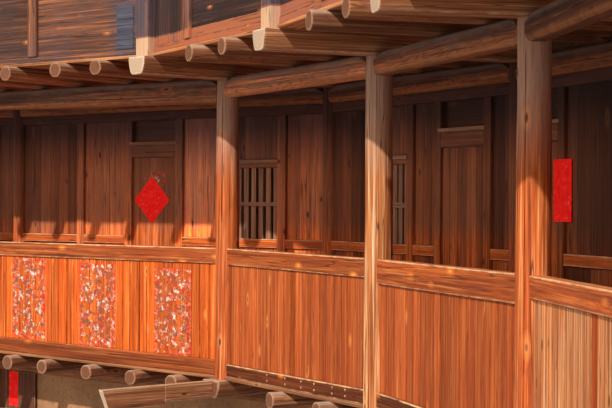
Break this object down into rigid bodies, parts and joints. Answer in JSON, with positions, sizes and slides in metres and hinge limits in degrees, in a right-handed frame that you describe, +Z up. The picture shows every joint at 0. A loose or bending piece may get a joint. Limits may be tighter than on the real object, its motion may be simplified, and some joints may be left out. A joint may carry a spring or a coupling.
{
  "type": "tulou gallery section",
  "caption": "Curved section of a tulou's timber gallery: floor on cantilevered joists, posts, boarded parapet, room fronts with doors and windows, and the foot of the storey above.",
  "frame": {"origin": "middle of the underside of the plastered wall, under the middle of the middle bay, on the ground", "axes": "+Z up, +X along the middle bay to the right as seen from the courtyard, +Y away from the courtyard"},
  "size_m": [13.9214, 5.2189, 4.383],
  "materials": {
    "plaster": "clay plaster on earth block",
    "floor_timber": "bare sawn boards, worn",
    "joist_timber": "weathered round fir logs",
    "beam_timber": "hewn fir logs, dusty above",
    "parapet_timber": "orange-brown sawn boards",
    "post_timber": "smoothed fir logs with long cracks",
    "room_timber": "dark red-brown boards",
    "upper_timber": "weathered grey-brown boards"
  },
  "bodies": {
    "root": {"arm_inner_plank": "joist_timber", "arm_outer_plank": "joist_timber", "ceiling_infill": "room_timber", "ceiling_joists": "joist_timber", "ceiling_main_beams": "joist_timber", "door_leaves": "room_timber", "door_lintels": "room_timber", "floor_boards": "floor_timber", "floor_infill": "beam_timber", "floor_joists": "joist_timber", "floor_main_beams": "joist_timber", "front_post_1": "post_timber", "front_post_2": "post_timber", "front_post_3": "post_timber", "front_post_4": "post_timber", "front_post_5": "post_timber", "front_post_6": "post_timber", "front_ring_beams": "beam_timber", "inner_posts": "room_timber", "inner_ring_beams": "beam_timber", "lower_door_boards": "beam_timber", "lower_door_frame": "beam_timber", "lower_posts": "beam_timber", "lower_ring_beams": "beam_timber", "lower_wall": "plaster", "parapet_boards_1": "parapet_timber", "parapet_boards_2": "parapet_timber", "parapet_boards_3": "parapet_timber", "parapet_boards_4": "parapet_timber", "parapet_boards_5": "parapet_timber", "parapet_rails": "parapet_timber", "parapet_sills": "parapet_timber", "parapet_stiles": "parapet_timber", "upper_floor_boards": "floor_timber", "upper_planks": "upper_timber", "upper_posts": "upper_timber", "upper_rails": "upper_timber", "upper_sills": "upper_timber", "upper_stiles": "upper_timber", "wall_boards_1": "room_timber", "wall_boards_2": "room_timber", "wall_boards_3": "room_timber", "wall_boards_4": "room_timber", "wall_boards_5": "room_timber", "wall_foot_plates": "room_timber", "wall_head_rails": "room_timber", "wall_mid_rails": "room_timber", "wall_studs": "room_timber", "window_heads": "room_timber", "window_shutters": "room_timber"}
  },
  "joints": []
}
